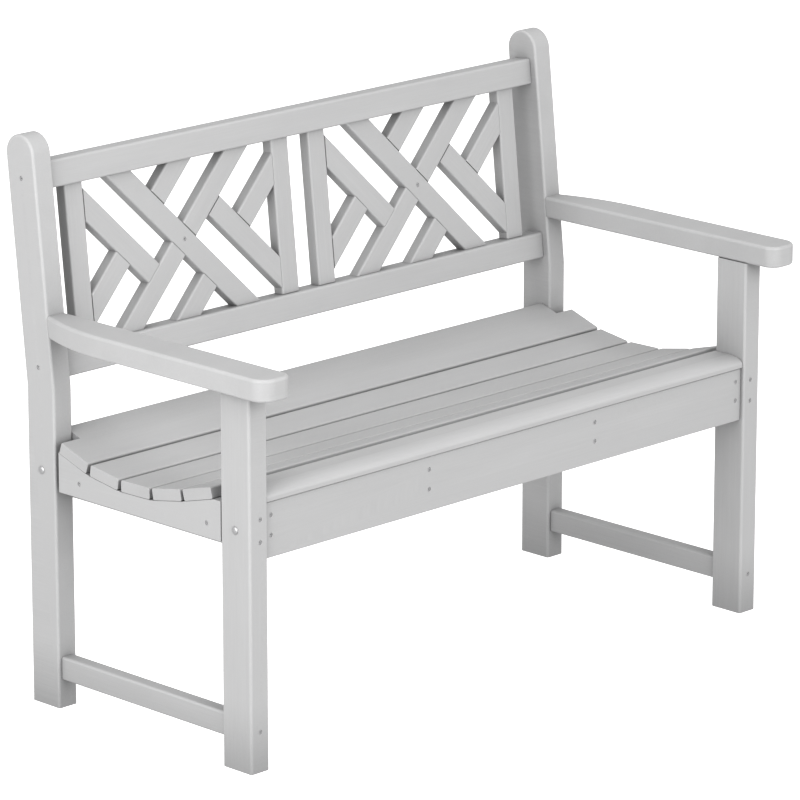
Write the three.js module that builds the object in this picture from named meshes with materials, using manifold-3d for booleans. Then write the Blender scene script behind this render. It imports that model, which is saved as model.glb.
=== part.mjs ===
// A two-seat garden bench of solid plastic lumber, with arms and a lattice back.
// Millimetres. +X runs along the bench, +Y to the back and +Z up.
// "left" is -X. Pieces are laid out from the front legs' front face (y = 0)
// and the floor (z = 0). The last lines centre the whole bench on its own box.
import * as THREE from "three";
import { mergeVertices } from "three/addons/utils/BufferGeometryUtils.js";
import Module from "manifold-3d";

const wasm = await Module();
wasm.setup();

// Lumber stock
const THICK = 38; // legs, posts and back rails
const MEDIUM = 25; // apron, rails, stretchers and supports
const LATTICE_THICK = 22;
const SLAT_THICK = 19;
const EDGE = 4; // rounded long edge of thick stock
const SMALL_EDGE = 3; // rounded long edge of thin stock
const GAP = 0.3; // joint line between touching pieces
const ARC_STEPS = 3; // facets on each rounded edge
const CURVE_STEPS = 8; // facets on each large curve
const WELD = 1e-3; // points nearer than this are one point
const CUTTER = 400; // size of a block that saws a piece to length

// Width
const HALF_WIDTH = 610; // to the outside of an arm
const HALF_FRAME = 583; // to the outside of a leg
const HALF_CLEAR = HALF_FRAME - THICK; // between a pair of legs
const BUTT = HALF_CLEAR - GAP; // half length of a board cut between the legs
const LEG_X = HALF_FRAME - THICK / 2;

// Legs and posts
const LEG_DEPTH = 64;
const POST_FRONT = 443.5;
const RAKE = THREE.MathUtils.degToRad(6);
const KINK_HEIGHT = 525; // where the post's front face starts to lean back
const POST_LENGTH = 371.3; // from the kink to the centre of the round top

// Arms
const ARM_BOTTOM = 606;
const ARM_THICK = 36;
const ARM_FRONT = -60.5;
const ARM_EDGE = 5;
const ARM_OUTER_CORNER = 28;
const ARM_INNER_CORNER = 22;
const ARM_TAPER_START = 310;
const ARM_BACK = 452;

// Seat
const SLAT_WIDTH = 65;
const SLAT_GAP = 5.6;
const SLAT_TILTS = [-15, -10.7, -1, 8.4, 18.6]; // degrees, front to back
const SCOOP_START = [87, 443]; // top front edge of the first tilted slat
const REAR_SLAT_EXTRA = 38; // how far the rear slat reaches in between the posts
const FRONT_SLAT = { front: 3, back: 66, bottom: 427, top: 446, noseDepth: 30, noseDrop: 12 };

// Seat frame
const APRON = { front: 7, bottom: 336.5 };
const SUPPORT_BOTTOM = 341;
const SIDE_RAIL_BOTTOM = 361;
const SIDE_RAIL_CLEAR = 8.5; // open space between a side rail and its post
const SIDE_RAIL_LIP = 0.5; // its front corner stands this far above the first tilted slat's underside
const CROSS_RAIL = { front: 469, bottom: 345, top: 433 };
const MID_SUPPORT_X = 190;
const END_SUPPORT_X = BUTT - MEDIUM / 2;
const STRETCHER = { bottom: 46.5, top: 85.5 };

// Back: s is measured up the rake from the kink, setback from the post's front face
const RAIL_HEIGHT = 44;
const LOWER_RAIL_S = 12;
const TOP_RAIL_S = 312;
const RAIL_SETBACK = 13;
const LATTICE_SETBACK = 21;
const STILE_X = [-487.5, -41.5, 41.5, 487.5];
const PANEL_X = 264.5;
const OPENING_WIDTH = 408;
const LATTICE_WIDTH = 38;
const FALL_SPACING = 80.3;
const RISE_SPACING = 87.7;

// Fasteners
const SCREW = { head: 3.6, headDepth: 2.2, shank: 1.8, length: 48, tip: 8, sides: 12 };
const BOLT = { head: 6.5, collar: 0.5, rise: 2.2, shank: 3, length: 30, sides: 24 };
const BOLT_PLACE = { y: LEG_DEPTH / 2, z: 386 };
const APRON_SCREW_HEIGHTS = [405, 373];
const LEG_SCREW_HEIGHTS = [405, 369];
const LEG_SCREW_X = 561;

// A rounded rectangle centred on the origin.
function roundedRectangle(width, height, radius) {
  const x = width / 2 - radius;
  const y = height / 2 - radius;
  const shape = new THREE.Shape();
  shape.absarc(x, y, radius, 0, Math.PI / 2);
  shape.absarc(-x, y, radius, Math.PI / 2, Math.PI);
  shape.absarc(-x, -y, radius, Math.PI, 1.5 * Math.PI);
  shape.absarc(x, -y, radius, 1.5 * Math.PI, 2 * Math.PI);
  return shape;
}

// Turns an extrusion so that the shape's x, y and depth lie along the row's axes.
function turned(geometry, alongX, alongY, alongDepth) {
  const axes = {
    X: new THREE.Vector3(1, 0, 0),
    Y: new THREE.Vector3(0, 1, 0),
    Z: new THREE.Vector3(0, 0, 1),
  };
  const basis = new THREE.Matrix4().makeBasis(axes[alongX], axes[alongY], axes[alongDepth]);
  return geometry.applyMatrix4(basis);
}

// A straight board with rounded long edges and square ends, centred, running along X.
function boardAlongX(length, depthY, heightZ, radius) {
  const shape = roundedRectangle(depthY, heightZ, radius);
  const board = new THREE.ExtrudeGeometry(shape, {
    depth: length,
    bevelEnabled: false,
    curveSegments: ARC_STEPS,
  });
  board.translate(0, 0, -length / 2);
  return turned(board, "Y", "Z", "X");
}

function boardAlongY(length, widthX, heightZ, radius) {
  const shape = roundedRectangle(heightZ, widthX, radius);
  const board = new THREE.ExtrudeGeometry(shape, {
    depth: length,
    bevelEnabled: false,
    curveSegments: ARC_STEPS,
  });
  board.translate(0, 0, -length / 2);
  return turned(board, "Z", "X", "Y");
}

function boardAlongZ(length, widthX, depthY, radius) {
  const shape = roundedRectangle(widthX, depthY, radius);
  return new THREE.ExtrudeGeometry(shape, {
    depth: length,
    bevelEnabled: false,
    curveSegments: ARC_STEPS,
  });
}

// A board cut to an outline, with its outline's edges rounded on both faces.
function cutToOutline(shape, thickness, radius, curveSegments) {
  const plate = new THREE.ExtrudeGeometry(shape, {
    depth: thickness - 2 * radius,
    bevelThickness: radius,
    bevelSize: radius,
    bevelOffset: -radius,
    bevelSegments: ARC_STEPS,
    curveSegments,
  });
  return plate.translate(0, 0, radius - thickness / 2);
}

// The same, for an outline drawn in the YZ plane, centred on x = 0.
function uprightPlate(shape, thickness, radius, curveSegments) {
  return turned(cutToOutline(shape, thickness, radius, curveSegments), "Y", "Z", "X");
}

function toSolid(geometry) {
  const bare = geometry.index ? geometry.toNonIndexed() : geometry.clone();
  bare.deleteAttribute("normal");
  bare.deleteAttribute("uv");
  const merged = mergeVertices(bare, WELD);
  return new wasm.Manifold(
    new wasm.Mesh({
      numProp: 3,
      vertProperties: merged.attributes.position.array,
      triVerts: new Uint32Array(merged.index.array),
    }),
  );
}

function toGeometry(solid) {
  const mesh = solid.getMesh();
  const geometry = new THREE.BufferGeometry();
  geometry.setAttribute("position", new THREE.BufferAttribute(mesh.vertProperties, 3));
  geometry.setIndex(new THREE.BufferAttribute(mesh.triVerts, 1));
  return geometry;
}

function cutAway(geometry, tools) {
  let solid = toSolid(geometry);
  for (const tool of tools) solid = solid.subtract(toSolid(tool));
  return toGeometry(solid);
}

const lumber = new THREE.Color(0.62, 0.63, 0.63);
const steel = new THREE.Color(0.5, 0.5, 0.5);

function piece(name, geometry, x, y, z) {
  const isSteel = name.includes("screw") || name.includes("bolt");
  const material = new THREE.MeshStandardMaterial({
    color: isSteel ? steel : lumber,
    roughness: isSteel ? 0.35 : 0.6,
    metalness: isSteel ? 1 : 0,
  });
  const mesh = new THREE.Mesh(geometry, material);
  mesh.name = name;
  mesh.position.set(x, y, z);
  return mesh;
}

// Countersunk screw with its head's face at y = 0, driven towards +Y.
// Growing it by a clearance gives the hole that it sits in.
function screwAlongY(clearance) {
  const head = SCREW.head + clearance;
  const shank = SCREW.shank + clearance;
  const length = SCREW.length + clearance;
  const profile = [
    new THREE.Vector2(0, -length),
    new THREE.Vector2(shank, -length + SCREW.tip),
    new THREE.Vector2(shank, -SCREW.headDepth - clearance),
    new THREE.Vector2(head, -clearance),
    new THREE.Vector2(head, clearance),
    new THREE.Vector2(0, clearance),
  ];
  return new THREE.LatheGeometry(profile, SCREW.sides).rotateX(Math.PI);
}

// Domed frame bolt whose head stands on the face x = 0, on the side it is seen from.
function boltAlongX(side) {
  const collarTop = GAP + BOLT.collar;
  const profile = [
    new THREE.Vector2(0, -BOLT.length),
    new THREE.Vector2(BOLT.shank, -BOLT.length),
    new THREE.Vector2(BOLT.shank, GAP),
    new THREE.Vector2(BOLT.head, GAP),
  ];
  for (let step = 0; step < CURVE_STEPS; step += 1) {
    const angle = (step / CURVE_STEPS) * (Math.PI / 2);
    const radius = BOLT.head * Math.cos(angle);
    profile.push(new THREE.Vector2(radius, collarTop + BOLT.rise * Math.sin(angle)));
  }
  profile.push(new THREE.Vector2(0, collarTop + BOLT.rise));
  return new THREE.LatheGeometry(profile, BOLT.sides).rotateZ((-side * Math.PI) / 2);
}

// The hole for a frame bolt's shank, open at x = 0.
function boltHole(side) {
  const radius = BOLT.shank + GAP;
  const hole = new THREE.CylinderGeometry(radius, radius, 2 * (BOLT.length + GAP), BOLT.sides);
  return hole.rotateZ((side * Math.PI) / 2);
}

// Front leg, standing at x = 0 with its front face at y = 0.
function frontLeg(side) {
  const leg = boardAlongZ(ARM_BOTTOM - GAP, THICK, LEG_DEPTH, EDGE);
  leg.translate(0, LEG_DEPTH / 2, 0);
  const hole = boltHole(side).translate((side * THICK) / 2, BOLT_PLACE.y, BOLT_PLACE.z);
  const screwHoles = LEG_SCREW_HEIGHTS.map((z) =>
    screwAlongY(GAP).translate(side * (LEG_SCREW_X - LEG_X), 0, z),
  );
  return cutAway(leg, [hole, ...screwHoles]);
}

// Back post: upright to the kink, then raked back to a fully round top.
function backPostShape() {
  const radius = LEG_DEPTH / 2;
  const topY = POST_FRONT + radius * Math.cos(RAKE) + POST_LENGTH * Math.sin(RAKE);
  const topZ = KINK_HEIGHT + POST_LENGTH * Math.cos(RAKE) - radius * Math.sin(RAKE);
  const backKink = KINK_HEIGHT - LEG_DEPTH * Math.tan(RAKE / 2);
  const shape = new THREE.Shape();
  shape.moveTo(POST_FRONT, 0);
  shape.lineTo(POST_FRONT, KINK_HEIGHT);
  shape.absarc(topY, topZ, radius, Math.PI - RAKE, -RAKE, true);
  shape.lineTo(POST_FRONT + LEG_DEPTH, backKink);
  shape.lineTo(POST_FRONT + LEG_DEPTH, 0);
  shape.closePath();
  return shape;
}

// Arm in plan. Its back end runs past the post's raked front, and is cut away there.
function armShape(side) {
  const shape = new THREE.Shape();
  const inner = HALF_CLEAR;
  const taperMiddle = (ARM_TAPER_START + ARM_BACK) / 2;
  shape.moveTo(HALF_FRAME, ARM_BACK + ARM_THICK);
  shape.lineTo(inner, ARM_BACK + ARM_THICK);
  shape.lineTo(inner, ARM_FRONT + ARM_INNER_CORNER);
  shape.absarc(
    inner + ARM_INNER_CORNER, ARM_FRONT + ARM_INNER_CORNER, ARM_INNER_CORNER, Math.PI, 1.5 * Math.PI,
  );
  shape.absarc(
    HALF_WIDTH - ARM_OUTER_CORNER, ARM_FRONT + ARM_OUTER_CORNER, ARM_OUTER_CORNER, -Math.PI / 2, 0,
  );
  shape.lineTo(HALF_WIDTH, ARM_TAPER_START);
  shape.quadraticCurveTo(HALF_WIDTH, taperMiddle, HALF_FRAME, ARM_BACK);
  shape.closePath();
  const outline = shape.getPoints(CURVE_STEPS);
  return new THREE.Shape(outline.map(({ x, y }) => new THREE.Vector2(side * x, y)));
}

// A block whose front face is the posts' raked front plane, brought forward by the joint line.
function rakedBlock() {
  const block = new THREE.BoxGeometry(4 * HALF_WIDTH, CUTTER, CUTTER);
  block.translate(0, CUTTER / 2 - GAP, 0);
  block.rotateX(-RAKE);
  return block.translate(0, POST_FRONT, KINK_HEIGHT);
}

function arm(side) {
  const plan = cutToOutline(armShape(side), ARM_THICK, ARM_EDGE, 1);
  plan.translate(0, 0, ARM_BOTTOM + ARM_THICK / 2);
  return cutAway(plan, [rakedBlock()]);
}

// The tilted slats, from the front: each one's top front edge, tilt and width.
function scoop() {
  const slats = [];
  let [y, z] = SCOOP_START;
  SLAT_TILTS.forEach((degrees, index) => {
    const tilt = THREE.MathUtils.degToRad(degrees);
    slats.push({ y, z, tilt, width: SLAT_WIDTH });
    const next = THREE.MathUtils.degToRad(SLAT_TILTS[index + 1] ?? degrees);
    const lean = (tilt + next) / 2;
    y += SLAT_WIDTH * Math.cos(tilt) + SLAT_GAP * Math.cos(lean);
    z += SLAT_WIDTH * Math.sin(tilt) + SLAT_GAP * Math.sin(lean);
  });
  slats[slats.length - 1].width += REAR_SLAT_EXTRA;
  return slats;
}

// The line that the slats' undersides rest on, front to back.
function scoopLine() {
  const points = [];
  for (const { y, z, tilt, width } of scoop()) {
    const drop = SLAT_THICK + GAP;
    const frontY = y + drop * Math.sin(tilt);
    const frontZ = z - drop * Math.cos(tilt);
    points.push([frontY, frontZ]);
    points.push([frontY + width * Math.cos(tilt), frontZ + width * Math.sin(tilt)]);
  }
  return points;
}

// A board on edge under the slats, from y = front to y = back.
function contouredShape(front, back, bottom, frontTop) {
  const line = scoopLine();
  const last = line[line.length - 1];
  const beforeLast = line[line.length - 2];
  const slope = (last[1] - beforeLast[1]) / (last[0] - beforeLast[0]);
  const shape = new THREE.Shape();
  shape.moveTo(front, bottom);
  shape.lineTo(front, frontTop);
  shape.lineTo(line[0][0] - (frontTop - line[0][1]), frontTop);
  for (const [y, z] of line.slice(0, -1)) shape.lineTo(y, z);
  shape.lineTo(back, beforeLast[1] + slope * (back - beforeLast[0]));
  shape.lineTo(back, bottom);
  shape.closePath();
  return shape;
}

function supportShape() {
  const front = APRON.front + MEDIUM + GAP;
  return contouredShape(front, CROSS_RAIL.front - GAP, SUPPORT_BOTTOM, FRONT_SLAT.bottom - GAP);
}

function sideRailShape() {
  const frontTop = scoopLine()[0][1] + SIDE_RAIL_LIP;
  const back = POST_FRONT - SIDE_RAIL_CLEAR;
  return contouredShape(LEG_DEPTH + GAP, back, SIDE_RAIL_BOTTOM, frontTop);
}

// Front slat: flat on top, with a long waterfall nose.
function frontSlatShape() {
  const { front, back, bottom, top, noseDepth, noseDrop } = FRONT_SLAT;
  const shape = new THREE.Shape();
  shape.moveTo(front + SMALL_EDGE, bottom);
  shape.lineTo(back - SMALL_EDGE, bottom);
  shape.absarc(back - SMALL_EDGE, bottom + SMALL_EDGE, SMALL_EDGE, -Math.PI / 2, 0);
  shape.absarc(back - SMALL_EDGE, top - SMALL_EDGE, SMALL_EDGE, 0, Math.PI / 2);
  shape.absellipse(front + noseDepth, top - noseDrop, noseDepth, noseDrop, Math.PI / 2, Math.PI);
  shape.absarc(front + SMALL_EDGE, bottom + SMALL_EDGE, SMALL_EDGE, Math.PI, 1.5 * Math.PI);
  return shape;
}

function frontSlat() {
  const slat = new THREE.ExtrudeGeometry(frontSlatShape(), {
    depth: 2 * BUTT,
    bevelEnabled: false,
    curveSegments: ARC_STEPS * 2,
  });
  slat.translate(0, 0, -BUTT);
  return turned(slat, "Y", "Z", "X");
}

// A tilted slat, lying with its top front edge on its own origin.
function tiltedSlat(width, tilt) {
  const slat = boardAlongX(2 * HALF_FRAME, width, SLAT_THICK, SMALL_EDGE);
  return slat.translate(0, width / 2, -SLAT_THICK / 2).rotateX(tilt);
}

// The rear slat is notched at both ends to pass between the posts.
function rearSlat(width, tilt) {
  const slat = tiltedSlat(width, 0);
  const notches = [-1, 1].map((side) => {
    const notch = new THREE.BoxGeometry(2 * THICK, 2 * REAR_SLAT_EXTRA, CUTTER);
    return notch.translate(side * (BUTT + THICK), SLAT_WIDTH + REAR_SLAT_EXTRA, 0);
  });
  return cutAway(slat, notches).rotateX(tilt);
}

// Lattice: "fall" bars run down to the right and "rise" bars run up to the right.
// An offset is measured across the bar, upwards. keep lists the bars that this one
// stops against, each with the side of that bar it stays on: 1 above, -1 below.
const LATTICE = {
  main: { lie: "fall", offset: 0, keep: [] },
  cross_upper: { lie: "rise", offset: 0, keep: [["fall", 0, 1]] },
  cross_lower: { lie: "rise", offset: 0, keep: [["fall", 0, -1]] },
  fall_left: { lie: "fall", offset: -FALL_SPACING, keep: [["rise", 0, 1]] },
  fall_right: { lie: "fall", offset: FALL_SPACING, keep: [["rise", 0, -1]] },
  rise_top: { lie: "rise", offset: RISE_SPACING, keep: [["fall", 0, 1]] },
  rise_bottom: { lie: "rise", offset: -RISE_SPACING, keep: [["fall", 0, -1]] },
  rise_left: { lie: "rise", offset: RISE_SPACING, keep: [["fall", -FALL_SPACING, -1]] },
  rise_right: { lie: "rise", offset: -RISE_SPACING, keep: [["fall", FALL_SPACING, 1]] },
};
const LIE_ANGLE = { fall: Math.PI / 4, rise: -Math.PI / 4 };

// A bar long enough to cross the whole opening, before it is cut to length.
function uncutBar({ lie, offset }) {
  const length = 2 * OPENING_WIDTH;
  const bar = boardAlongX(length, LATTICE_THICK, LATTICE_WIDTH, SMALL_EDGE);
  return bar.translate(0, 0, offset).rotateY(LIE_ANGLE[lie]);
}

// The half of the panel on one side of a bar.
function besideBar(lie, offset, side) {
  const size = 2 * OPENING_WIDTH;
  const half = new THREE.BoxGeometry(size, 2 * THICK, size);
  const z = offset + side * (LATTICE_WIDTH / 2 + GAP + size / 2);
  return half.translate(0, 0, z).rotateY(LIE_ANGLE[lie]);
}

function latticeBar(bar) {
  const height = TOP_RAIL_S - LOWER_RAIL_S - RAIL_HEIGHT;
  const opening = new THREE.BoxGeometry(OPENING_WIDTH - 2 * GAP, 2 * THICK, height - 2 * GAP);
  let solid = toSolid(uncutBar(bar)).intersect(toSolid(opening));
  for (const [lie, offset, side] of bar.keep) {
    solid = solid.intersect(toSolid(besideBar(lie, offset, side)));
  }
  return toGeometry(solid);
}

// The raked back, laid out in the posts' own leaning frame.
function rakedBack() {
  const back = new THREE.Group();
  back.position.set(0, POST_FRONT, KINK_HEIGHT);
  back.rotation.x = -RAKE;
  const rail = () => boardAlongX(2 * BUTT, THICK, RAIL_HEIGHT, EDGE);
  const railY = RAIL_SETBACK + THICK / 2;
  back.add(piece("lower_back_rail", rail(), 0, railY, LOWER_RAIL_S + RAIL_HEIGHT / 2));
  back.add(piece("top_back_rail", rail(), 0, railY, TOP_RAIL_S + RAIL_HEIGHT / 2));

  const latticeY = LATTICE_SETBACK + LATTICE_THICK / 2;
  const stileBottom = LOWER_RAIL_S + RAIL_HEIGHT + GAP;
  const stileLength = TOP_RAIL_S - GAP - stileBottom;
  const stileNames = ["left_outer", "left_inner", "right_inner", "right_outer"];
  stileNames.forEach((name, index) => {
    const stile = boardAlongZ(stileLength, LATTICE_WIDTH, LATTICE_THICK, SMALL_EDGE);
    back.add(piece(`${name}_stile`, stile, STILE_X[index], latticeY, stileBottom));
  });

  const middle = (LOWER_RAIL_S + RAIL_HEIGHT + TOP_RAIL_S) / 2;
  for (const side of [-1, 1]) {
    const panel = side < 0 ? "left_lattice" : "right_lattice";
    for (const [name, bar] of Object.entries(LATTICE)) {
      back.add(piece(`${panel}_${name}`, latticeBar(bar), side * PANEL_X, latticeY, middle));
    }
  }
  return back;
}

function seat() {
  const group = new THREE.Group();
  group.add(piece("seat_slat_1", frontSlat(), 0, 0, 0));
  scoop().forEach(({ y, z, tilt, width }, index) => {
    const isRear = index === SLAT_TILTS.length - 1;
    const slat = isRear ? rearSlat(width, tilt) : tiltedSlat(width, tilt);
    group.add(piece(`seat_slat_${index + 2}`, slat, 0, y, z));
  });
  return group;
}

const APRON_SCREW_X = [-END_SUPPORT_X, -MID_SUPPORT_X, MID_SUPPORT_X, END_SUPPORT_X];

// Every place on the apron's front where a screw goes, numbered from the left.
function apronScrewPlaces() {
  return APRON_SCREW_X.flatMap((x) => APRON_SCREW_HEIGHTS.map((z) => [x, z]));
}

function frontApron() {
  const top = FRONT_SLAT.bottom - GAP;
  const apron = boardAlongX(2 * BUTT, MEDIUM, top - APRON.bottom, SMALL_EDGE);
  apron.translate(0, APRON.front + MEDIUM / 2, (top + APRON.bottom) / 2);
  const holes = apronScrewPlaces().map(([x, z]) => screwAlongY(GAP).translate(x, APRON.front, z));
  return cutAway(apron, holes);
}

// The supports take the points of the apron screws in their front ends.
function support(x) {
  const plate = uprightPlate(supportShape(), MEDIUM, SMALL_EDGE, ARC_STEPS);
  const holes = APRON_SCREW_HEIGHTS.map((z) => screwAlongY(GAP).translate(0, APRON.front, z));
  const end = x < 0 ? "left" : "right";
  const kind = Math.abs(x) === MID_SUPPORT_X ? "mid_support" : "end_support";
  return piece(`${end}_${kind}`, cutAway(plate, holes), x, 0, 0);
}

function seatFrame() {
  const group = new THREE.Group();
  group.add(piece("front_apron", frontApron(), 0, 0, 0));
  for (const x of APRON_SCREW_X) group.add(support(x));

  const { front, bottom, top } = CROSS_RAIL;
  const crossRail = boardAlongX(2 * BUTT, MEDIUM, top - bottom, SMALL_EDGE);
  group.add(piece("rear_cross_rail", crossRail, 0, front + MEDIUM / 2, (bottom + top) / 2));

  apronScrewPlaces().forEach(([x, z], index) => {
    group.add(piece(`apron_screw_${index + 1}`, screwAlongY(0), x, APRON.front, z));
  });
  return group;
}

// Leg, post, arm, side rail and stretcher of one end.
function endFrame(side) {
  const end = side < 0 ? "left" : "right";
  const group = new THREE.Group();
  const post = uprightPlate(backPostShape(), THICK, EDGE, CURVE_STEPS);
  const rail = uprightPlate(sideRailShape(), THICK, SMALL_EDGE, ARC_STEPS);
  const stretcherLength = POST_FRONT - LEG_DEPTH - 2 * GAP;
  const stretcherHeight = STRETCHER.top - STRETCHER.bottom;
  const stretcher = boardAlongY(stretcherLength, MEDIUM, stretcherHeight, EDGE);
  const stretcherY = (LEG_DEPTH + POST_FRONT) / 2;
  const stretcherZ = (STRETCHER.top + STRETCHER.bottom) / 2;
  group.add(piece(`${end}_front_leg`, frontLeg(side), side * LEG_X, 0, 0));
  group.add(piece(`${end}_back_post`, post, side * LEG_X, 0, 0));
  group.add(piece(`${end}_arm`, arm(side), 0, 0, 0));
  group.add(piece(`${end}_side_rail`, rail, side * LEG_X, 0, 0));
  group.add(piece(`${end}_stretcher`, stretcher, side * LEG_X, stretcherY, stretcherZ));

  const { y: boltY, z: boltZ } = BOLT_PLACE;
  group.add(piece(`${end}_leg_bolt`, boltAlongX(side), side * HALF_FRAME, boltY, boltZ));
  LEG_SCREW_HEIGHTS.forEach((z, index) => {
    const place = index === 0 ? "upper" : "lower";
    group.add(piece(`${end}_leg_${place}_screw`, screwAlongY(0), side * LEG_SCREW_X, 0, z));
  });
  return group;
}

// The whole bench, centred on its own box.
const topReach = POST_FRONT + LEG_DEPTH / 2 * (1 + Math.cos(RAKE)) + POST_LENGTH * Math.sin(RAKE);
const bench = new THREE.Group();
bench.position.y = -(ARM_FRONT + topReach) / 2;
bench.add(endFrame(-1), endFrame(1), seatFrame(), seat(), rakedBack());

const part = new THREE.Group();
part.add(bench);

export default part;
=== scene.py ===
# Garden bench of solid plastic lumber: fine boards, fasteners, materials, light and camera.
# Metres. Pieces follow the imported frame's boxes; the bench's front faces -Y.
import math
import bmesh
import bpy
from mathutils import Matrix, Vector


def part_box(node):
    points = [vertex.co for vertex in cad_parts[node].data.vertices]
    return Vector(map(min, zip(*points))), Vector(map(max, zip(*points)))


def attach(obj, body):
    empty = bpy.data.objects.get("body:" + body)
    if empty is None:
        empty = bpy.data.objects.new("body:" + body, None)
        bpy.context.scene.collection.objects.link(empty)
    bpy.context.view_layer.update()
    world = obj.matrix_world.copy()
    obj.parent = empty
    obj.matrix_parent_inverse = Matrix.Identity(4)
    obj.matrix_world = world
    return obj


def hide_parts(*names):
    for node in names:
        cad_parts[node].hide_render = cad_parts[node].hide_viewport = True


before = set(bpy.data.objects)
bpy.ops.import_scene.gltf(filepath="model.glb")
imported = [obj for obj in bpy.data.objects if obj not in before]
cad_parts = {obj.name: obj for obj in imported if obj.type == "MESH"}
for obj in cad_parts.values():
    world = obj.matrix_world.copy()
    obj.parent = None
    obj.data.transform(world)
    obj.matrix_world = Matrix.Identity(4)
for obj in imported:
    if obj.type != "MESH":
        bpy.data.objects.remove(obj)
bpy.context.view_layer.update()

MM = 0.001

# Lumber stock, as in the frame
THICK = 38 * MM
LATTICE_THICK = 22 * MM
LATTICE_WIDTH = 38 * MM
SLAT_THICK = 19 * MM
SLAT_WIDTH = 65 * MM
LEG_DEPTH = 64 * MM
EDGE = 4 * MM
SMALL_EDGE = 3 * MM
CUT_EDGE = 0.7 * MM  # slight break on a saw-cut edge
GAP = 0.3 * MM
ARC_STEPS = 7

# Back
RAKE = math.radians(6)
KINK_HEIGHT = 525 * MM
POST_LENGTH = 371.3 * MM
RAIL_HEIGHT = 44 * MM
RAIL_LOW_S = 12 * MM
RAIL_TOP_S = 312 * MM
OPENING_WIDTH = 408 * MM
FALL_SPACING = 80.3 * MM
RISE_SPACING = 87.7 * MM

# Seat
SLAT_TILTS = [-15, -10.7, -1, 8.4, 18.6]
SLAT_GAP = 5.6 * MM
REAR_SLAT_EXTRA = 38 * MM
NOSE_DEPTH = 30 * MM
NOSE_DROP = 12 * MM

# Arms
ARM_EDGE = 5 * MM
ARM_OUTER_CORNER = 28 * MM
ARM_INNER_CORNER = 22 * MM
ARM_TAPER_BEFORE = 133.5 * MM  # the taper starts this far in front of the post
ARM_TAPER_BEYOND = 8.5 * MM  # and would end this far past the post's front
ARM_SPARE = 20 * MM  # extra length, sawn off along the post's raked front

# Fasteners
SCREW_RADIUS = 3.4 * MM
SCREW_SINK = 0.9 * MM
BOLT_RADIUS = 6.5 * MM
BOLT_RISE = 2.2 * MM
RAIL_LIP = 0.5 * MM  # a side rail's front corner over the first tilted slat's underside
RAIL_SCREW_RISE = 23.3 * MM  # a side rail's screws, from its bottom and its two ends
RAIL_SCREW_FRONT = 31 * MM
RAIL_SCREW_BACK = 48 * MM

# Looks
LUMBER_SHADE = 0.46
PAINTED_SHADE_REACH = 120 * MM  # how near a board must be to count as a neighbour for the painted shade
PAINTED_SHADE_DARK = -0.2  # painted shade: darkening deep in a joint, where neighbouring boards keep light off
PAINTED_LIGHT_OPEN = 0.06  # painted light: brightening on an open face
FLOOR_GLOW = 0.97
SMOOTH_ANGLE = math.radians(34)  # edges sharper than this stay crisp
LOT_STEP = 0.37  # each piece's grain starts this much further on

# Camera
CAMERA_PLACE = (-5.722, -5.6976, 2.7031)
CAMERA_DIP = math.radians(15.66)
CAMERA_TURN = math.radians(-45.114)
CAMERA_LENS = 233.5
CAMERA_SENSOR = 36
CAMERA_SHIFT = (-0.00915, -0.00455)


# ---------------------------------------------------------------- materials

def new_material(name, roughness, metallic=0.0):
    material = bpy.data.materials.new(name)
    material.use_nodes = True
    nodes = material.node_tree.nodes
    shader = nodes["Principled BSDF"]
    shader.inputs["Roughness"].default_value = roughness
    shader.inputs["Metallic"].default_value = metallic
    return material, nodes, material.node_tree.links, shader


def add_node(nodes, kind, **settings):
    node = nodes.new(kind)
    for key, value in settings.items():
        if key in node.inputs:
            node.inputs[key].default_value = value
        else:
            setattr(node, key, value)
    return node


def mapped(nodes, links, source, scale):
    """Coordinates stretched by scale, moved by the board's own lot number."""
    lot = add_node(nodes, "ShaderNodeAttribute", attribute_name="lot")
    move = add_node(nodes, "ShaderNodeVectorMath", operation="MULTIPLY_ADD")
    links.new(lot.outputs["Vector"], move.inputs[0])
    move.inputs[1].default_value = (1.0, 0.37, 0.61)
    links.new(source, move.inputs[2])
    stretch = add_node(nodes, "ShaderNodeVectorMath", operation="MULTIPLY")
    links.new(move.outputs[0], stretch.inputs[0])
    stretch.inputs[1].default_value = scale
    return stretch.outputs[0]


def noise(nodes, links, vector, scale, detail=4.0, roughness=0.55):
    node = nodes.new("ShaderNodeTexNoise")
    node.inputs["Scale"].default_value = scale
    node.inputs["Detail"].default_value = detail
    node.inputs["Roughness"].default_value = roughness
    links.new(vector, node.inputs["Vector"])
    return node.outputs["Fac"]


def remap(nodes, links, value, low, high, out_low, out_high):
    node = nodes.new("ShaderNodeMapRange")
    for index, number in enumerate((low, high, out_low, out_high)):
        node.inputs[index + 1].default_value = number
    links.new(value, node.inputs[0])
    return node.outputs[0]


def combine(nodes, links, operation, first, second):
    node = add_node(nodes, "ShaderNodeMath", operation=operation)
    for socket, value in zip(node.inputs, (first, second)):
        if isinstance(value, (int, float)):
            socket.default_value = value
        else:
            links.new(value, socket)
    return node.outputs[0]


def bump(nodes, links, height, distance, strength, normal=None):
    node = nodes.new("ShaderNodeBump")
    node.inputs["Distance"].default_value = distance
    node.inputs["Strength"].default_value = strength
    links.new(height, node.inputs["Height"])
    if normal is not None:
        links.new(normal, node.inputs["Normal"])
    return node.outputs["Normal"]


def painted_shade(nodes, links):
    """Painted shade and light: darker where neighbouring boards hide the surface, lighter where it is
    open.
    """
    hidden = nodes.new("ShaderNodeAmbientOcclusion")
    hidden.samples = 6
    hidden.inputs["Distance"].default_value = PAINTED_SHADE_REACH
    return remap(nodes, links, hidden.outputs["AO"], 0.25, 1.0, PAINTED_SHADE_DARK, PAINTED_LIGHT_OPEN)


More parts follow.
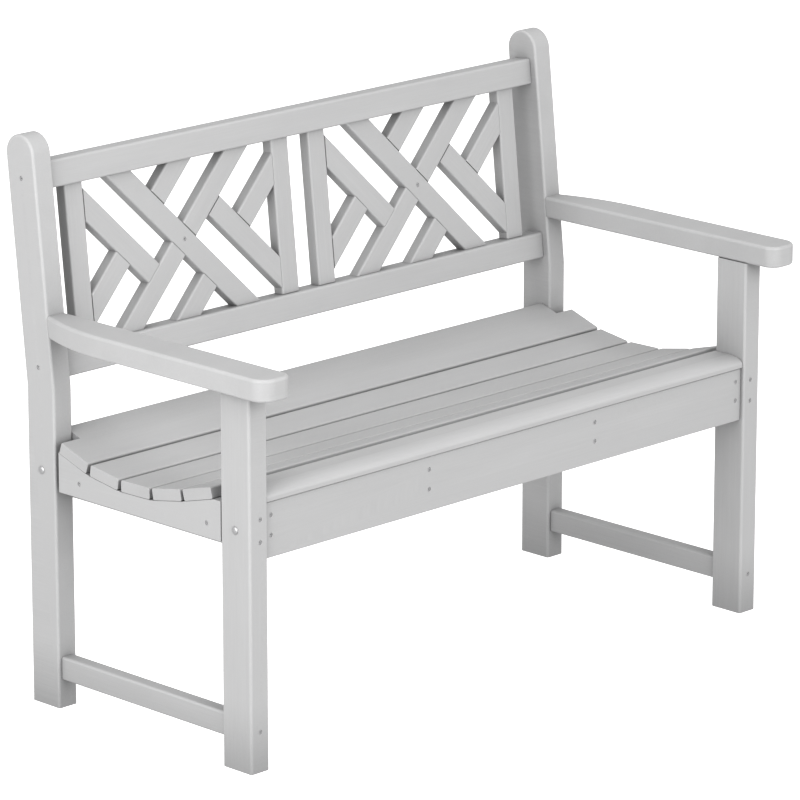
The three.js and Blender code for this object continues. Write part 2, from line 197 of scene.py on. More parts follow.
def lumber_material():
    """Extruded plastic lumber: grey through and through, combed lengthways by the die."""
    material, nodes, links, shader = new_material("plastic_lumber", 0.5)
    shader.inputs["IOR"].default_value = 1.5
    shader.inputs["Specular IOR Level"].default_value = 0.45
    place = nodes.new("ShaderNodeTexCoord").outputs["Object"]
    combed = noise(nodes, links, mapped(nodes, links, place, (0.9, 60, 60)), 6.0, 5.0, 0.6)
    fine = noise(nodes, links, mapped(nodes, links, place, (5, 300, 300)), 5.0, 3.0, 0.6)
    cloud = noise(nodes, links, mapped(nodes, links, place, (2.2, 9, 9)), 2.0, 3.0, 0.5)
    peel = noise(nodes, links, mapped(nodes, links, place, (1, 1, 1)), 420.0, 2.0, 0.5)
    edge = add_node(nodes, "ShaderNodeAttribute", attribute_name="edge").outputs["Fac"]
    cut = add_node(nodes, "ShaderNodeAttribute", attribute_name="cut").outputs["Fac"]

    shade = combine(nodes, links, "ADD",
                    remap(nodes, links, combed, 0.3, 0.7, -0.013, 0.013),
                    remap(nodes, links, cloud, 0.3, 0.7, -0.012, 0.012))
    shade = combine(nodes, links, "ADD", shade, remap(nodes, links, fine, 0.3, 0.7, -0.012, 0.012))
    # painted highlight: rounded edges made lighter in colour
    shade = combine(nodes, links, "ADD", shade, remap(nodes, links, edge, 0, 1, 0, 0.03))
    shade = combine(nodes, links, "SUBTRACT", shade, remap(nodes, links, cut, 0, 1, 0, 0.02))
    # painted shade in joints and painted light on open faces, from how much of the surround neighbouring
    # boards hide
    shade = combine(nodes, links, "ADD", shade, painted_shade(nodes, links))
    shade = combine(nodes, links, "ADD", shade, LUMBER_SHADE)
    colour = nodes.new("ShaderNodeCombineColor")
    links.new(shade, colour.inputs[0])
    links.new(shade, colour.inputs[1])
    links.new(combine(nodes, links, "ADD", shade, 0.002), colour.inputs[2])
    links.new(colour.outputs[0], shader.inputs["Base Color"])

    rough = remap(nodes, links, combed, 0.3, 0.7, 0.44, 0.58)
    rough = combine(nodes, links, "SUBTRACT", rough, remap(nodes, links, edge, 0, 1, 0, 0.08))
    rough = combine(nodes, links, "ADD", rough, remap(nodes, links, cut, 0, 1, 0, 0.14))
    links.new(rough, shader.inputs["Roughness"])

    normal = bump(nodes, links, combed, 0.25 * MM, 0.35)
    normal = bump(nodes, links, fine, 0.08 * MM, 0.4, normal)
    normal = bump(nodes, links, peel, 0.05 * MM, 0.25, normal)
    links.new(normal, shader.inputs["Normal"])
    return material


def steel_material():
    """Stainless fasteners, turned and tumbled."""
    material, nodes, links, shader = new_material("stainless_steel", 0.34, 1.0)
    place = nodes.new("ShaderNodeTexCoord").outputs["Object"]
    worn = noise(nodes, links, place, 900.0, 3.0)
    ramp = nodes.new("ShaderNodeValToRGB")
    ramp.color_ramp.elements[0].color = (0.56, 0.56, 0.57, 1)
    ramp.color_ramp.elements[1].color = (0.74, 0.74, 0.74, 1)
    links.new(worn, ramp.inputs["Fac"])
    links.new(ramp.outputs["Color"], shader.inputs["Base Color"])
    links.new(remap(nodes, links, worn, 0.3, 0.7, 0.36, 0.5), shader.inputs["Roughness"])
    links.new(bump(nodes, links, worn, 0.03 * MM, 0.4), shader.inputs["Normal"])
    return material


def floor_material():
    material, _, _, shader = new_material("studio_floor", 0.9)
    shader.inputs["Base Color"].default_value = (0.93, 0.93, 0.93, 1)
    shader.inputs["Specular IOR Level"].default_value = 0.1
    shader.inputs["Emission Color"].default_value = (1, 1, 1, 1)
    shader.inputs["Emission Strength"].default_value = FLOOR_GLOW
    return material


LUMBER = lumber_material()
STEEL = steel_material()


# ---------------------------------------------------------------- mesh tools

def arc(centre_x, centre_y, radius_x, radius_y, start, end, steps):
    """Points on an arc, both ends included; angles in degrees."""
    points = []
    for step in range(steps + 1):
        angle = math.radians(start + (end - start) * step / steps)
        points.append((centre_x + radius_x * math.cos(angle), centre_y + radius_y * math.sin(angle)))
    return points


def rounded_rectangle(width, height, radius):
    x, y = width / 2 - radius, height / 2 - radius
    corners = ((x, y, 0), (-x, y, 90), (-x, -y, 180), (x, -y, 270))
    points = []
    for cx, cy, start in corners:
        points += arc(cx, cy, radius, radius, start, start + 90, ARC_STEPS)
    return points


def inset_outline(points, insets):
    """Moves each edge of a counter-clockwise outline inwards by its own inset."""
    count = len(points)
    moved = []
    for index in range(count):
        before, here, after = points[index - 1], points[index], points[(index + 1) % count]
        normals = []
        for a, b in ((before, here), (here, after)):
            along = Vector((b[0] - a[0], b[1] - a[1])).normalized()
            normals.append(Vector((-along.y, along.x)))
        d0, d1 = insets[index - 1], insets[index]
        n0, n1 = normals
        cross = n0.x * n1.y - n0.y * n1.x
        if abs(cross) < 0.02:
            shift = (n0 + n1).normalized() * (d0 + d1) / 2
        else:
            shift = Vector(((d0 * n1.y - d1 * n0.y) / cross, (d1 * n0.x - d0 * n1.x) / cross))
        moved.append((here[0] + shift.x, here[1] + shift.y))
    return moved


def round_inset(radius, depth):
    """How far a rounded edge stands in, at a depth below the face."""
    if depth >= radius:
        return 0.0
    return radius - math.sqrt(radius * radius - (radius - depth) ** 2)


def stack_rings(bm, rings, edge_of, cut_of):
    """Skins a stack of equal rings and caps both ends. Rings are lists of Vector."""
    edge_layer = bm.faces.layers.float.new("edge")
    cut_layer = bm.faces.layers.float.new("cut")
    made = [[bm.verts.new(p) for p in ring] for ring in rings]
    count = len(rings[0])
    for level in range(len(rings) - 1):
        for i in range(count):
            j = (i + 1) % count
            quad = (made[level][i], made[level][j], made[level + 1][j], made[level + 1][i])
            face = bm.faces.new(quad)
            face[edge_layer] = edge_of(level, i)
            face[cut_layer] = cut_of(level, i)
    for ring, level in ((list(reversed(made[0])), -1), (made[-1], len(rings))):
        face = bm.faces.new(ring)
        face[edge_layer] = edge_of(level, 0)
        face[cut_layer] = cut_of(level, 0)
    bmesh.ops.recalc_face_normals(bm, faces=bm.faces)


LOTS = {}


def make_object(bm, name, matrix, material, node=None):
    """Turns a bmesh into a piece with crisp flats and smooth rounds, riding on the bench."""
    mesh = bpy.data.meshes.new(name)
    bm.to_mesh(mesh)
    bm.free()
    lot = mesh.attributes.new("lot", "FLOAT", "POINT")
    number = LOT_STEP * (len(LOTS) + 1)
    LOTS[name] = number
    lot.data.foreach_set("value", [number] * len(mesh.vertices))
    mesh.shade_smooth()
    mesh.set_sharp_from_angle(angle=SMOOTH_ANGLE)
    mesh.materials.append(material)
    piece = bpy.data.objects.new(name, mesh)
    piece.matrix_world = matrix
    bpy.context.scene.collection.objects.link(piece)
    weighted = piece.modifiers.new("flat_faces", "WEIGHTED_NORMAL")
    weighted.weight = 60
    weighted.keep_sharp = True
    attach(piece, "root")
    if node:
        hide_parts(node)
    return piece


def section_bmesh(section, length):
    """A board of any section (counter-clockwise in local YZ), running along local X."""
    bm = bmesh.new()
    insets = [CUT_EDGE] * len(section)
    inner = inset_outline(section, insets)
    half = length / 2
    levels = ((-half, inner), (-half + CUT_EDGE, section), (half - CUT_EDGE, section), (half, inner))
    rings = [[Vector((x, a, b)) for a, b in ring] for x, ring in levels]

    def is_round(i):
        a, b = Vector(section[i]), Vector(section[(i + 1) % len(section)])
        return (b - a).length < 4 * MM

    def edge_of(level, i):
        if level in (-1, len(rings)):
            return 0.0
        return 1.0 if level != 1 or is_round(i) else 0.0

    def cut_of(level, i):
        return 0.0 if level == 1 else 1.0

    stack_rings(bm, rings, edge_of, cut_of)
    return bm


def board_bmesh(length, width, height, radius):
    return section_bmesh(rounded_rectangle(width, height, radius), length)


def plate_bmesh(outline, radii, thickness, cuts=()):
    """A board cut to a counter-clockwise outline in local XY, thickness along local Z.

    radii gives each outline edge's rounding; cuts lists the edges that are saw-cut ends."""
    bm = bmesh.new()
    deepest = max(radii)
    depths = [deepest * (1 - math.cos(math.radians(90 * step / ARC_STEPS)))
              for step in range(ARC_STEPS + 1)]
    depths = sorted(set(depths) | {CUT_EDGE * 0.3, CUT_EDGE})
    levels = [(-thickness / 2 + depth, depth) for depth in depths]
    levels += [(thickness / 2 - depth, depth) for depth in reversed(depths)]
    rings = []
    for z, depth in levels:
        ring = inset_outline(outline, [round_inset(radius, depth) for radius in radii])
        rings.append([Vector((x, y, z)) for x, y in ring])
    middle = len(depths) - 1

    def edge_of(level, i):
        if level in (-1, len(rings), middle):
            return 0.0
        return 1.0 if radii[i] > CUT_EDGE else 0.5

    def cut_of(level, i):
        return 1.0 if i in cuts and level not in (-1, len(rings)) else 0.0

    stack_rings(bm, rings, edge_of, cut_of)
    return bm


def axes_matrix(origin, x_axis, y_axis, z_axis):
    rows = Matrix((x_axis, y_axis, z_axis)).transposed().to_4x4()
    rows.translation = origin
    return rows


X, Y, Z = Vector((1, 0, 0)), Vector((0, 1, 0)), Vector((0, 0, 1))
ALONG = {"X": (X, Y, Z), "Y": (Y, Z, X), "Z": (Z, X, Y)}


def node_box(node):
    low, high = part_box(node)
    return Vector(low), Vector(high)


def board_in_box(node, along, radius):
    """A straight board that fills its frame node's box."""
    low, high = node_box(node)
    x_axis, y_axis, z_axis = ALONG[along]
    size = high - low
    length, width, height = (abs(size.dot(axis)) for axis in (x_axis, y_axis, z_axis))
    bm = board_bmesh(length, width, height, radius)
    matrix = axes_matrix((low + high) / 2, x_axis, y_axis, z_axis)
    return make_object(bm, "fine_" + node, matrix, LUMBER, node)


# ---------------------------------------------------------------- holes and fasteners

def revolve_bmesh(profile, sides):
    """Turns (radius, depth) points about local Z into a closed form."""
    bm = bmesh.new()
    rings = []
    for radius, depth in profile:
        rings.append([Vector((radius * math.cos(2 * math.pi * k / sides),
                              radius * math.sin(2 * math.pi * k / sides), depth))
                      for k in range(sides)])
    stack_rings(bm, rings, lambda level, i: 0.0, lambda level, i: 0.0)
    return bm


def facing(point, outward):
    """A frame at point whose local Z looks out of the board."""
    matrix = outward.to_track_quat("Z", "Y").to_matrix().to_4x4()
    matrix.translation = point
    return matrix


def cut_hole(board, point, outward, profile, sides=40):
    """Sinks a turned hole into a board."""
    bm = revolve_bmesh(profile, sides)
    mesh = bpy.data.meshes.new("hole")
    bm.to_mesh(mesh)
    bm.free()
    tool = bpy.data.objects.new("hole", mesh)
    tool.matrix_world = facing(point, outward)
    bpy.context.scene.collection.objects.link(tool)
    boolean = board.modifiers.new("hole", "BOOLEAN")
    boolean.operation = "DIFFERENCE"
    boolean.solver = "EXACT"
    boolean.object = tool
    return tool


def apply_holes(board, tools):
    """Bakes the holes into the board's mesh, then smooths its faces again."""
    weighted = board.modifiers["flat_faces"]
    weighted.show_viewport = False
    bpy.context.view_layer.update()
    graph = bpy.context.evaluated_depsgraph_get()
    mesh = bpy.data.meshes.new_from_object(board.evaluated_get(graph))
    for modifier in list(board.modifiers):
        if modifier.type == "BOOLEAN":
            board.modifiers.remove(modifier)
    old = board.data
    name = old.name
    board.data = mesh
    bpy.data.meshes.remove(old)
    mesh.name = name
    mesh.shade_smooth()
    mesh.set_sharp_from_angle(angle=SMOOTH_ANGLE)
    weighted.show_viewport = True
    for tool in tools:
        hole_mesh = tool.data
        bpy.data.objects.remove(tool)
        bpy.data.meshes.remove(hole_mesh)


def star_cutter(radius, depth):
    """Six-lobed drive recess."""
    points = []
    for k in range(48):
        angle = 2 * math.pi * k / 48
        reach = radius * (0.86 + 0.14 * math.cos(6 * angle))
        points.append((reach * math.cos(angle), reach * math.sin(angle)))
    bm = bmesh.new()
    rings = [[Vector((x, y, z)) for x, y in points] for z in (-depth, depth)]
    stack_rings(bm, rings, lambda level, i: 0.0, lambda level, i: 0.0)
    return bm


def head_with_recess(name, profile, point, outward, recess, node=None):
    """A turned fastener head with a star recess, its top face at local z = 0 or above."""
    head = make_object(revolve_bmesh(profile, 40), name, facing(point, outward), STEEL, node)
    mesh = bpy.data.meshes.new("recess")
    bm = star_cutter(*recess)
    bm.to_mesh(mesh)
    bm.free()
    tool = bpy.data.objects.new("recess", mesh)
    top = max(depth for _, depth in profile)
    tool.matrix_world = facing(point + outward * top, outward)
    bpy.context.scene.collection.objects.link(tool)
    boolean = head.modifiers.new("recess", "BOOLEAN")
    boolean.solver = "EXACT"
    boolean.object = tool
    apply_holes(head, [tool])
    return head


def screw_hole_profile():
    """Countersunk pocket, with its mouth standing clear of the face."""
    r = SCREW_RADIUS
    return ((0.0001, -4.2 * MM), (1.9 * MM, -4.2 * MM), (r + 0.15 * MM, -SCREW_SINK - 0.5 * MM),
            (r + 0.25 * MM, -0.15 * MM), (r + 0.6 * MM, 0.25 * MM), (0.0001, 0.25 * MM))


def screw_head_profile():
    r = SCREW_RADIUS
    return ((0.0001, -4 * MM), (1.7 * MM, -4 * MM), (r, -SCREW_SINK - 0.55 * MM),
            (r, -SCREW_SINK - 0.15 * MM), (r - 0.2 * MM, -SCREW_SINK), (0.0001, -SCREW_SINK))


def bolt_head_profile():
    """Low domed head standing on the lumber."""
    points = [(0.0001, 0.1 * MM), (BOLT_RADIUS, 0.1 * MM), (BOLT_RADIUS, 0.5 * MM)]
    for step in range(1, 9):
        angle = math.radians(90 * step / 9)
        points.append((BOLT_RADIUS * math.cos(angle), 0.5 * MM + BOLT_RISE * math.sin(angle)))
    points.append((0.0001, 0.5 * MM + BOLT_RISE))
    return points


def screw(board, name, point, outward, node=None):
    """One countersunk screw with its hole in the board. Returns the hole's tool."""
    tool = cut_hole(board, point, outward, screw_hole_profile())
    head_with_recess(name, screw_head_profile(), point, outward, (1.9 * MM, 1.6 * MM), node)
    return tool


def bolt(name, point, outward, node=None):
    """A plain domed head standing on the board's face."""
    bm = revolve_bmesh(bolt_head_profile(), 48)
    make_object(bm, name, facing(point, outward), STEEL, node)


# ---------------------------------------------------------------- legs, posts, arms

def front_leg(end, side):
    node = end + "_front_leg"
    leg = board_in_box(node, "Z", EDGE)
    low, high = node_box(node)
    tools = []
    for place in ("upper", "lower"):
        screw_node = f"{end}_leg_{place}_screw"
        s_low, s_high = node_box(screw_node)
        point = Vector(((s_low.x + s_high.x) / 2, low.y, (s_low.z + s_high.z) / 2))
        tools.append(screw(leg, "fine_" + screw_node, point, -Y, screw_node))
    r_low, r_high = node_box(end + "_stretcher")
    point = Vector(((r_low.x + r_high.x) / 2, low.y, (r_low.z + r_high.z) / 2))
    tools.append(screw(leg, end + "_stretcher_front_screw", point, -Y))
    apply_holes(leg, tools)
    bolt_node = end + "_leg_bolt"
    b_low, b_high = node_box(bolt_node)
    outer = high.x if side > 0 else low.x
    point = Vector((outer, (b_low.y + b_high.y) / 2, (b_low.z + b_high.z) / 2))
    bolt("fine_" + bolt_node, point, X * side, bolt_node)


def post_outline(front):
    """The post from the side: upright, then raked back to a full round, counter-clockwise."""
    radius = LEG_DEPTH / 2
    top_y = front + radius * math.cos(RAKE) + POST_LENGTH * math.sin(RAKE)
    top_z = KINK_HEIGHT + POST_LENGTH * math.cos(RAKE) - radius * math.sin(RAKE)
    back_kink = KINK_HEIGHT - LEG_DEPTH * math.tan(RAKE / 2)
    rake = math.degrees(RAKE)
    points = [(front, 0), (front + LEG_DEPTH, 0), (front + LEG_DEPTH, back_kink)]
    points += arc(top_y, top_z, radius, radius, -rake, 180 - rake, 40)
    points.append((front, KINK_HEIGHT))
    return points


def raked(front, setback, s):
    """The (y, z) place at a setback behind the post's raked front face, s up from the kink."""
    return (front + setback * math.cos(RAKE) + s * math.sin(RAKE),
            KINK_HEIGHT + s * math.cos(RAKE) - setback * math.sin(RAKE))


def back_post(end, side):
    node = end + "_back_post"
    low, high = node_box(node)
    outline = post_outline(low.y)
    radii = [CUT_EDGE] + [EDGE] * (len(outline) - 1)
    bm = plate_bmesh(outline, radii, high.x - low.x, cuts=(0,))
    middle = (low.x + high.x) / 2
    matrix = axes_matrix(Vector((middle, 0, 0)), Y, Z, X)
    post = make_object(bm, "fine_" + node, matrix, LUMBER, node)
    outer = high.x if side > 0 else low.x
    tools = []
    for name, s in (("top", RAIL_TOP_S), ("lower", RAIL_LOW_S)):
        y, z = raked(low.y, LEG_DEPTH / 2, s + RAIL_HEIGHT / 2)
        point = Vector((outer, y, z))
        tools.append(screw(post, f"{end}_post_{name}_screw", point, X * side))
    for name in ("upper", "lower"):
        s_low, s_high = node_box(f"{end}_leg_{name}_screw")
        point = Vector(((s_low.x + s_high.x) / 2, low.y + LEG_DEPTH, (s_low.z + s_high.z) / 2))
        tools.append(screw(post, f"{end}_post_{name}_back_screw", point, Y))
    r_low, r_high = node_box(end + "_stretcher")
    point = Vector(((r_low.x + r_high.x) / 2, low.y + LEG_DEPTH, (r_low.z + r_high.z) / 2))
    tools.append(screw(post, end + "_stretcher_back_screw", point, Y))
    apply_holes(post, tools)
    b_low, b_high = node_box("rear_cross_rail")
    point = Vector((outer, low.y + LEG_DEPTH / 2, (b_low.z + b_high.z) / 2))
    bolt(end + "_post_bolt", point, X * side)


def arm_outline(low, high, post_front, post_outer):
    """Right arm in plan, counter-clockwise. Its back end is square to the post."""
    inner, outer = low.x, high.x
    back = high.y
    taper_start = post_front - ARM_TAPER_BEFORE
    middle = (taper_start + post_front + ARM_TAPER_BEYOND) / 2
    points = arc(inner + ARM_INNER_CORNER, low.y + ARM_INNER_CORNER,
                 ARM_INNER_CORNER, ARM_INNER_CORNER, 180, 270, 16)
    points += arc(outer - ARM_OUTER_CORNER, low.y + ARM_OUTER_CORNER,
                  ARM_OUTER_CORNER, ARM_OUTER_CORNER, 270, 360, 20)
    taper_end = post_front + ARM_TAPER_BEYOND
    for step in range(17):
        t = step / 16
        x = (1 - t) ** 2 * outer + 2 * t * (1 - t) * outer + t * t * post_outer
        y = (1 - t) ** 2 * taper_start + 2 * t * (1 - t) * middle + t * t * taper_end
        if y < back - 0.2 * MM:
            points.append((x, y))
    points += [(post_outer, back), (inner, back)]
    return points


def arm(end, side):
    node = end + "_arm"
    low, high = node_box(node)
    post_low, post_high = node_box(end + "_back_post")
    if side < 0:
        low, high = Vector((-high.x, low.y, low.z)), Vector((-low.x, high.y, high.z))
        post_low, post_high = Vector((-post_high.x, post_low.y, 0)), Vector((-post_low.x, post_high.y, 0))
    longer = high.copy()
    longer.y += ARM_SPARE
    outline = arm_outline(low, longer, post_low.y, post_high.x)
    if side < 0:
        outline = [(-x, y) for x, y in reversed(outline)]
    radii = [ARM_EDGE] * len(outline)
    bm = plate_bmesh(outline, radii, high.z - low.z)
    front = Vector((0, post_low.y - GAP, KINK_HEIGHT - (low.z + high.z) / 2))
    normal = Vector((0, math.cos(RAKE), -math.sin(RAKE)))
    trim(bm, front, normal)
    matrix = Matrix.Translation((0, 0, (low.z + high.z) / 2))
    make_object(bm, "fine_" + node, matrix, LUMBER, node)


def trim(bm, point, normal):
    """Saws off what lies beyond a plane, and closes the cut with a crisp, slightly broken end."""
    geometry = bm.verts[:] + bm.edges[:] + bm.faces[:]
    cut = bmesh.ops.bisect_plane(bm, geom=geometry, plane_co=point, plane_no=normal,
                                 clear_outer=True, dist=1e-7)
    rim = [item for item in cut["geom_cut"] if isinstance(item, bmesh.types.BMEdge)]
    made = bmesh.ops.contextual_create(bm, geom=rim)
    cut_layer = bm.faces.layers.float["cut"]
    edge_layer = bm.faces.layers.float["edge"]
    for face in made["faces"]:
        face[cut_layer] = 1.0
        face[edge_layer] = 0.0
    return made["faces"]


# ---------------------------------------------------------------- seat

def scoop(start_y, start_z):
    """Each tilted slat's top front edge, tilt and width, from the front."""
    slats = []
    y, z = start_y, start_z
    for index, degrees in enumerate(SLAT_TILTS):
        tilt = math.radians(degrees)
        slats.append([y, z, tilt, SLAT_WIDTH])
        following = math.radians(SLAT_TILTS[min(index + 1, len(SLAT_TILTS) - 1)])
        lean = (tilt + following) / 2
        y += SLAT_WIDTH * math.cos(tilt) + SLAT_GAP * math.cos(lean)
        z += SLAT_WIDTH * math.sin(tilt) + SLAT_GAP * math.sin(lean)
    slats[-1][3] += REAR_SLAT_EXTRA
    return slats


def scoop_start():
    """The first tilted slat's top front edge, from its frame node's box."""
    low, high = node_box("seat_slat_2")
    tilt = math.radians(SLAT_TILTS[0])
    middle = (low + high) / 2
    along = Vector((0, math.cos(tilt), math.sin(tilt)))
    up = Vector((0, -math.sin(tilt), math.cos(tilt)))
    corner = middle - along * SLAT_WIDTH / 2 + up * SLAT_THICK / 2
    return corner.y, corner.z


def scoop_line(slats):
    """The line that the slats' undersides rest on, front to back."""
    drop = SLAT_THICK + GAP
    points = []
    for y, z, tilt, width in slats:
        front = (y + drop * math.sin(tilt), z - drop * math.cos(tilt))
        points.append(front)
        points.append((front[0] + width * math.cos(tilt), front[1] + width * math.sin(tilt)))
    return points


def contoured_outline(slats, front, back, bottom, front_top):
    """A board on edge under the slats, counter-clockwise in YZ."""
    line = scoop_line(slats)
    last, before = line[-1], line[-2]
    slope = (last[1] - before[1]) / (last[0] - before[0])
    points = [(front, bottom), (back, bottom), (back, before[1] + slope * (back - before[0]))]
    points += reversed(line[:-1])
    points.append((line[0][0] - (front_top - line[0][1]), front_top))
    points.append((front, front_top))
    return points


def contoured_board(node, slats, front_top, radius):
    low, high = node_box(node)
    outline = contoured_outline(slats, low.y, high.y, low.z, front_top)
    radii = [radius] * len(outline)
    radii[1] = CUT_EDGE
    radii[-1] = CUT_EDGE
    bm = plate_bmesh(outline, radii, high.x - low.x, cuts=(1, len(outline) - 1))
    matrix = axes_matrix(Vector(((low.x + high.x) / 2, 0, 0)), Y, Z, X)
    return make_object(bm, "fine_" + node, matrix, LUMBER, node)


def side_rail(end, side, slats):
    node = end + "_side_rail"
    low, high = node_box(node)
    line_start = scoop_line(slats)[0]
    rail = contoured_board(node, slats, line_start[1] + RAIL_LIP, CUT_EDGE)
    outer = high.x if side > 0 else low.x
    height = low.z + RAIL_SCREW_RISE
    tools = []
    places = (("front", low.y + RAIL_SCREW_FRONT), ("back", high.y - RAIL_SCREW_BACK))
    for name, y in places:
        point = Vector((outer, y, height))
        tools.append(screw(rail, f"{end}_side_rail_{name}_screw", point, X * side))
    apply_holes(rail, tools)


def front_slat():
    node = "seat_slat_1"
    low, high = node_box(node)
    depth, height = high.y - low.y, high.z - low.z
    r = SMALL_EDGE
    section = arc(depth - r, r, r, r, -90, 0, ARC_STEPS)
    section += arc(depth - r, height - r, r, r, 0, 90, ARC_STEPS)
    section += arc(NOSE_DEPTH, height - NOSE_DROP, NOSE_DEPTH, NOSE_DROP, 90, 180, 24)
    section += arc(r, r, r, r, 180, 270, ARC_STEPS)
    section = [(y - depth / 2, z - height / 2) for y, z in section]
    bm = section_bmesh(section, high.x - low.x)
    matrix = axes_matrix((low + high) / 2, X, Y, Z)
    return make_object(bm, "fine_" + node, matrix, LUMBER, node)


def slat_matrix(y, z, tilt):
    """A slat's own frame: local X along it, local Y up its slope, origin on its top front edge."""
    return Matrix.Translation((0, y, z)) @ Matrix.Rotation(tilt, 4, "X")


def tilted_slat(index, y, z, tilt, width):
    node = f"seat_slat_{index}"
    low, high = node_box(node)
    bm = board_bmesh(high.x - low.x, width, SLAT_THICK, SMALL_EDGE)
    matrix = slat_matrix(y, z, tilt) @ Matrix.Translation((0, width / 2, -SLAT_THICK / 2))
    return make_object(bm, "fine_" + node, matrix, LUMBER, node)


def rear_slat(index, y, z, tilt, width):
    """The rear slat in plan, notched at both ends to pass between the posts."""
    node = f"seat_slat_{index}"
    low, high = node_box(node)
    half = (high.x - low.x) / 2
    notch = node_box("right_back_post")[0].x - GAP
    outline = [(-half, 0), (half, 0), (half, SLAT_WIDTH), (notch, SLAT_WIDTH), (notch, width),
               (-notch, width), (-notch, SLAT_WIDTH), (-half, SLAT_WIDTH)]
    radii = [SMALL_EDGE] + [CUT_EDGE] * 3 + [SMALL_EDGE] + [CUT_EDGE] * 3
    bm = plate_bmesh(outline, radii, SLAT_THICK, cuts=(1, 2, 3, 5, 6, 7))
    matrix = slat_matrix(y, z, tilt) @ Matrix.Translation((0, 0, -SLAT_THICK / 2))
    return make_object(bm, "fine_" + node, matrix, LUMBER, node)


def seat():
    start_y, start_z = scoop_start()
    slats = scoop(start_y, start_z)
    front_slat()
    for number, (y, z, tilt, width) in enumerate(slats):
        if number == len(slats) - 1:
            rear_slat(number + 2, y, z, tilt, width)
        else:
            tilted_slat(number + 2, y, z, tilt, width)
    return slats


def apron():
    board = board_in_box("front_apron", "X", SMALL_EDGE)
    front = node_box("front_apron")[0].y
    tools = []
    for number in range(1, 9):
        node = f"apron_screw_{number}"
        s_low, s_high = node_box(node)
        point = Vector(((s_low.x + s_high.x) / 2, front, (s_low.z + s_high.z) / 2))
        tools.append(screw(board, "fine_" + node, point, -Y, node))
    apply_holes(board, tools)


# ---------------------------------------------------------------- lattice back

LIE = {"fall": -45, "rise": 45}
LATTICE = {
    "main": ("fall", 0, ()),
    "cross_upper": ("rise", 0, (("fall", 0, 1),)),
    "cross_lower": ("rise", 0, (("fall", 0, -1),)),
    "fall_left": ("fall", -FALL_SPACING, (("rise", 0, 1),)),
    "fall_right": ("fall", FALL_SPACING, (("rise", 0, -1),)),
    "rise_top": ("rise", RISE_SPACING, (("fall", 0, 1),)),
    "rise_bottom": ("rise", -RISE_SPACING, (("fall", 0, -1),)),
    "rise_left": ("rise", RISE_SPACING, (("fall", -FALL_SPACING, -1),)),
    "rise_right": ("rise", -RISE_SPACING, (("fall", FALL_SPACING, 1),)),
}


def bar_frame(lie, offset):
    """A bar's frame within its panel: local X along the bar, local Z up across it."""
    angle = math.radians(LIE[lie])
    along = Vector((math.cos(angle), 0, math.sin(angle)))
    across = Vector((-math.sin(angle), 0, math.cos(angle)))
    return axes_matrix(across * offset, along, Y, across)


def lattice_bar(panel, name, panel_frame, opening):
    lie, offset, stops = LATTICE[name]
    here = bar_frame(lie, offset)
    back_again = here.inverted()
    bm = board_bmesh(2 * OPENING_WIDTH, LATTICE_THICK, LATTICE_WIDTH, SMALL_EDGE)
    planes = [(Vector((side * opening.x / 2, 0, 0)), X * side) for side in (-1, 1)]
    planes += [(Vector((0, 0, side * opening.z / 2)), Z * side) for side in (-1, 1)]
    for other_lie, other_offset, side in stops:
        other = bar_frame(other_lie, other_offset)
        across = other.to_3x3() @ Z
        point = other.translation + across * side * (LATTICE_WIDTH / 2 + GAP)
        planes.append((point, -across * side))
    turn = back_again.to_3x3()
    for point, normal in planes:
        local = back_again @ point
        trim_if_crossed(bm, local, turn @ normal)
    node = f"{panel}_{name}"
    return make_object(bm, "fine_" + node, panel_frame @ here, LUMBER, node)


def trim_if_crossed(bm, point, normal):
    beyond = [vertex for vertex in bm.verts if (vertex.co - point).dot(normal) > 1e-6]
    if beyond:
        trim(bm, point, normal)


def lattice_panel(end):
    panel = end + "_lattice"
    low, high = node_box(panel + "_main")
    turn = Matrix.Rotation(-RAKE, 4, "X")
    panel_frame = Matrix.Translation((low + high) / 2) @ turn
    height = RAIL_TOP_S - RAIL_LOW_S - RAIL_HEIGHT
    opening = Vector((OPENING_WIDTH - 2 * GAP, 0, height - 2 * GAP))
    bars = {name: lattice_bar(panel, name, panel_frame, opening) for name in LATTICE}
    front = panel_frame @ Vector((0, -LATTICE_THICK / 2, 0))
    outward = turn.to_3x3() @ -Y
    tool = screw(bars["main"], panel + "_centre_screw", front, outward)
    apply_holes(bars["main"], [tool])


def leaning_board(node, along, length, depth, height, radius):
    """A straight board in the raked back, centred on its frame node's box."""
    low, high = node_box(node)
    turn = Matrix.Rotation(-RAKE, 4, "X")
    x_axis, y_axis, z_axis = ALONG[along]
    sizes = {"X": (length, depth, height), "Z": (length, height, depth)}[along]
    bm = board_bmesh(*sizes, radius)
    matrix = Matrix.Translation((low + high) / 2) @ turn @ axes_matrix(Vector(), x_axis, y_axis, z_axis)
    return make_object(bm, "fine_" + node, matrix, LUMBER, node)


def lattice_back():
    rail_low, rail_high = node_box("top_back_rail")
    rail_length = rail_high.x - rail_low.x
    for node in ("top_back_rail", "lower_back_rail"):
        leaning_board(node, "X", rail_length, THICK, RAIL_HEIGHT, EDGE)
    stile_length = RAIL_TOP_S - RAIL_LOW_S - RAIL_HEIGHT - 2 * GAP
    for end in ("left", "right"):
        lattice_panel(end)
        for place in ("outer", "inner"):
            node = f"{end}_{place}_stile"
            leaning_board(node, "Z", stile_length, LATTICE_THICK, LATTICE_WIDTH, SMALL_EDGE)


# ---------------------------------------------------------------- the bench

slats = seat()
apron()
board_in_box("rear_cross_rail", "X", SMALL_EDGE)
support_top = node_box("seat_slat_1")[0].z - GAP
for end, side in (("left", -1), ("right", 1)):
    front_leg(end, side)
    back_post(end, side)
    arm(end, side)
    board_in_box(end + "_stretcher", "Y", EDGE)
    side_rail(end, side, slats)
    contoured_board(end + "_end_support", slats, support_top, SMALL_EDGE)
    contoured_board(end + "_mid_support", slats, support_top, SMALL_EDGE)
lattice_back()


# ---------------------------------------------------------------- floor, light and camera

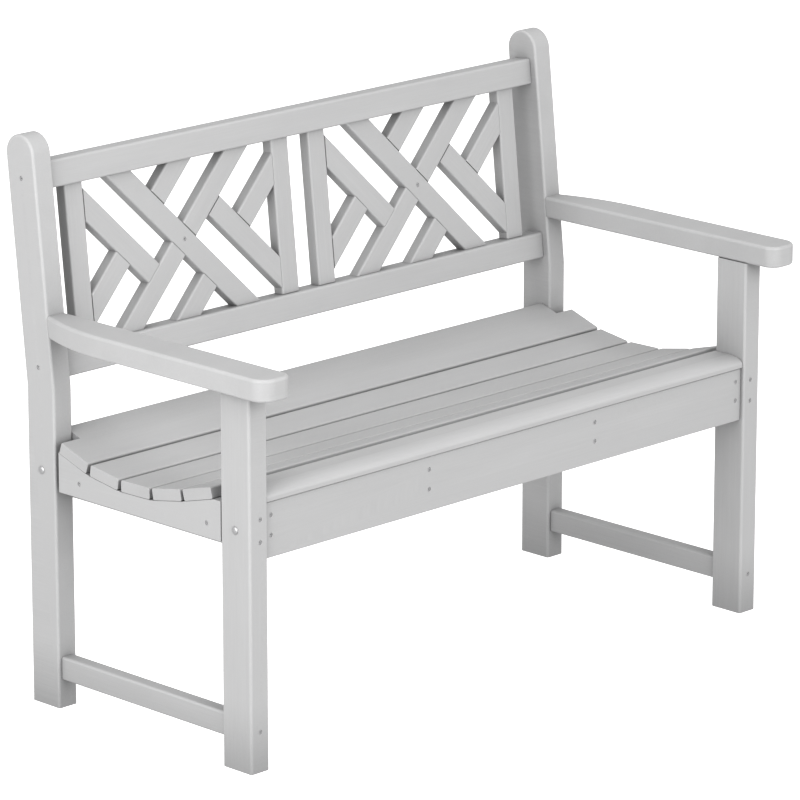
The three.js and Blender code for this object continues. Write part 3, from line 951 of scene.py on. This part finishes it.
def studio_floor():
    mesh = bpy.data.meshes.new("studio_floor")
    size = 30
    mesh.from_pydata([(-size, -size, 0), (size, -size, 0), (size, size, 0), (-size, size, 0)],
                     [], [(0, 1, 2, 3)])
    mesh.materials.append(floor_material())
    floor = bpy.data.objects.new("studio_floor", mesh)
    bpy.context.scene.collection.objects.link(floor)
    floor.visible_diffuse = False
    floor.visible_glossy = False


def world_light(top, bottom):
    """An even pale surround, one level above the horizon and one below it."""
    world = bpy.data.worlds.new("surround")
    bpy.context.scene.world = world
    world.use_nodes = True
    nodes, links = world.node_tree.nodes, world.node_tree.links
    place = nodes.new("ShaderNodeTexCoord").outputs["Generated"]
    split = nodes.new("ShaderNodeSeparateXYZ")
    links.new(place, split.inputs[0])
    level = remap(nodes, links, split.outputs["Z"], -0.15, 0.15, bottom, top)
    links.new(level, nodes["Background"].inputs["Strength"])
    nodes["Background"].inputs["Color"].default_value = (1, 1, 1, 1)


def area_light(name, place, target, width, height, strength):
    data = bpy.data.lights.new(name, "AREA")
    data.shape = "RECTANGLE"
    data.size, data.size_y = width, height
    data.energy = strength
    light = bpy.data.objects.new(name, data)
    light.location = place
    direction = Vector(target) - Vector(place)
    light.rotation_euler = direction.to_track_quat("-Z", "Y").to_euler()
    bpy.context.scene.collection.objects.link(light)


def camera():
    data = bpy.data.cameras.new("camera")
    data.sensor_width = CAMERA_SENSOR
    data.lens = CAMERA_LENS
    data.shift_x, data.shift_y = CAMERA_SHIFT
    data.clip_end = 200
    view = bpy.data.objects.new("camera", data)
    view.location = CAMERA_PLACE
    view.rotation_euler = (math.radians(90) - CAMERA_DIP, 0, CAMERA_TURN)
    bpy.context.scene.collection.objects.link(view)
    bpy.context.scene.camera = view


studio_floor()
world_light(0.58, 0.65)
area_light("left_softbox", (-2.6, -0.4, 1.1), (0, 0, 0.5), 2.0, 1.8, 35)
area_light("front_softbox", (-0.3, -4.0, 1.9), (0, 0, 0.5), 3.0, 2.0, 85)
area_light("top_softbox", (0, 0.2, 3.4), (0, 0, 0), 3.0, 2.5, 20)
camera()
bpy.context.scene.view_settings.view_transform = "Standard"
